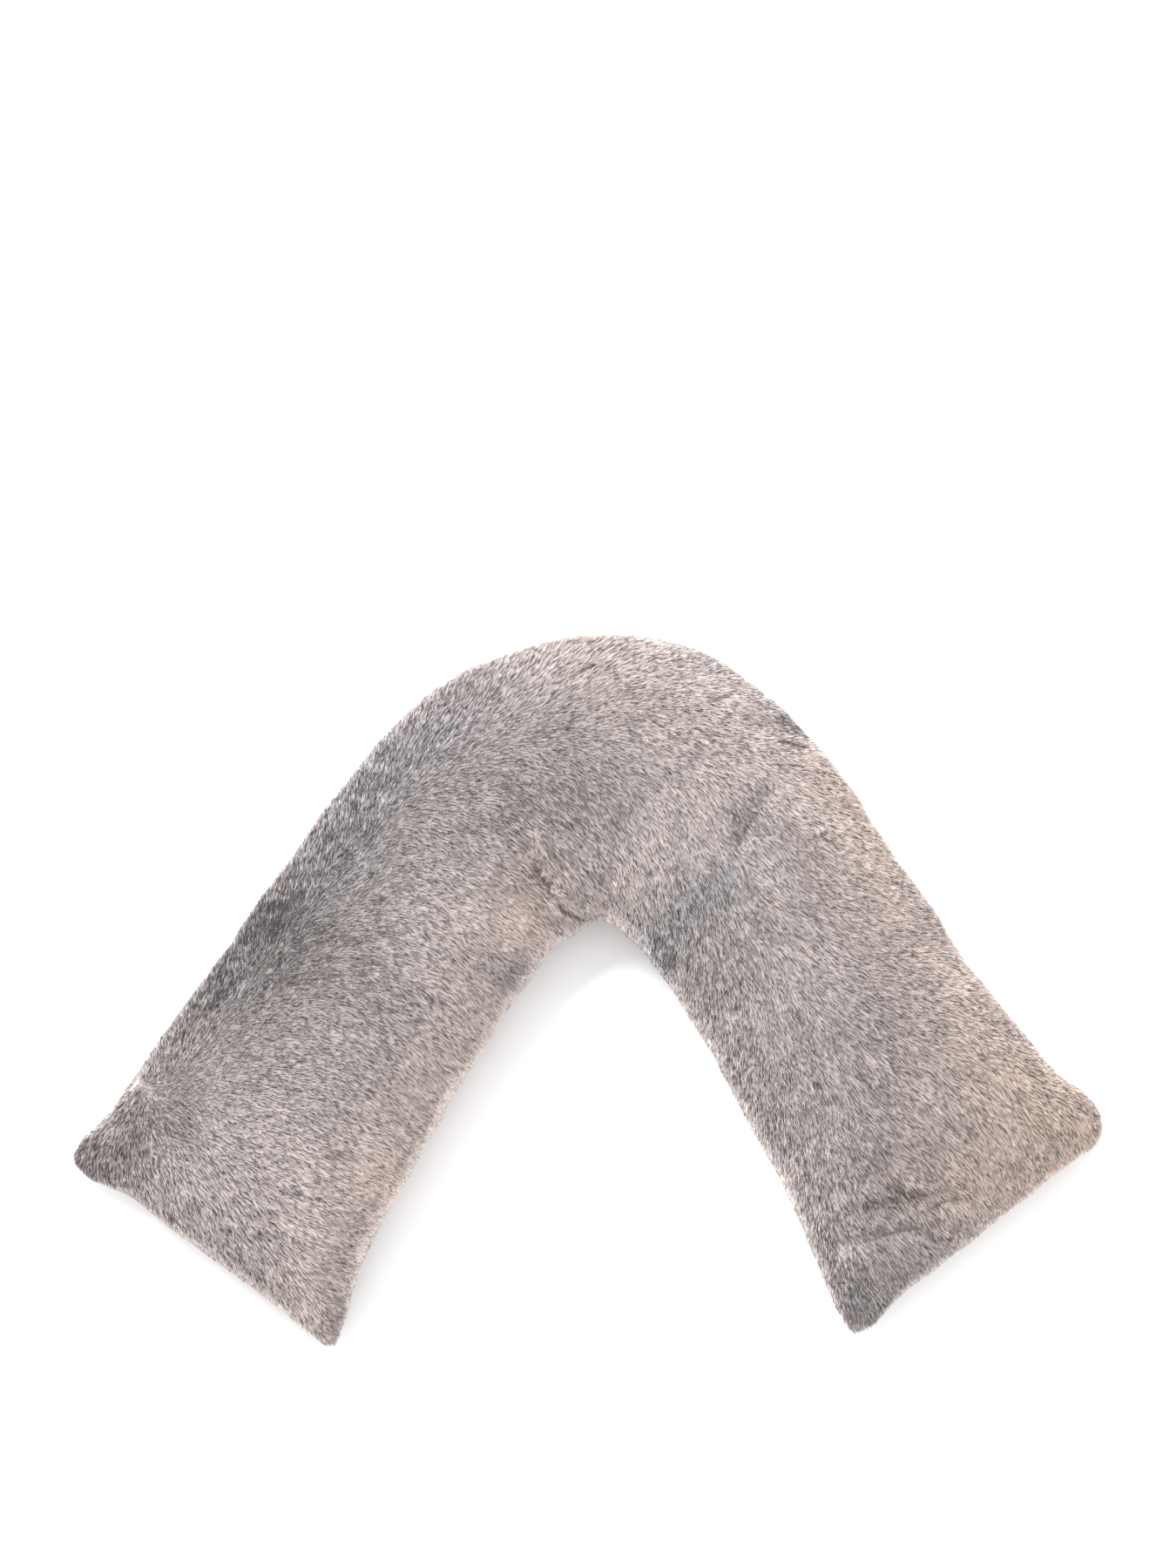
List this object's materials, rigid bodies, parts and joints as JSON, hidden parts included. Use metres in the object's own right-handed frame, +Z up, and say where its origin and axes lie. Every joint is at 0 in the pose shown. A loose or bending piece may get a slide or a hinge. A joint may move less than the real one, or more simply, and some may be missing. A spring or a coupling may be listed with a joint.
{
  "type": "v shaped pillow",
  "caption": "V-shaped filled bed pillow in a short-pile fur cover, two legs joined by a broad round bend, lying on its back.",
  "frame": {"origin": "middle of the footprint, on the surface that the pillow lies on", "axes": "+Z up, out of the pillow's face; +Y towards the bend, -Y towards the two open feet; +X to the right, seen from above"},
  "size_m": [1.1018, 0.7604, 0.16],
  "materials": {
    "cover": "short dense fur pile, silver-beige tips over darker grey roots, matt"
  },
  "bodies": {
    "root": {"pillow": "cover"}
  },
  "joints": []
}
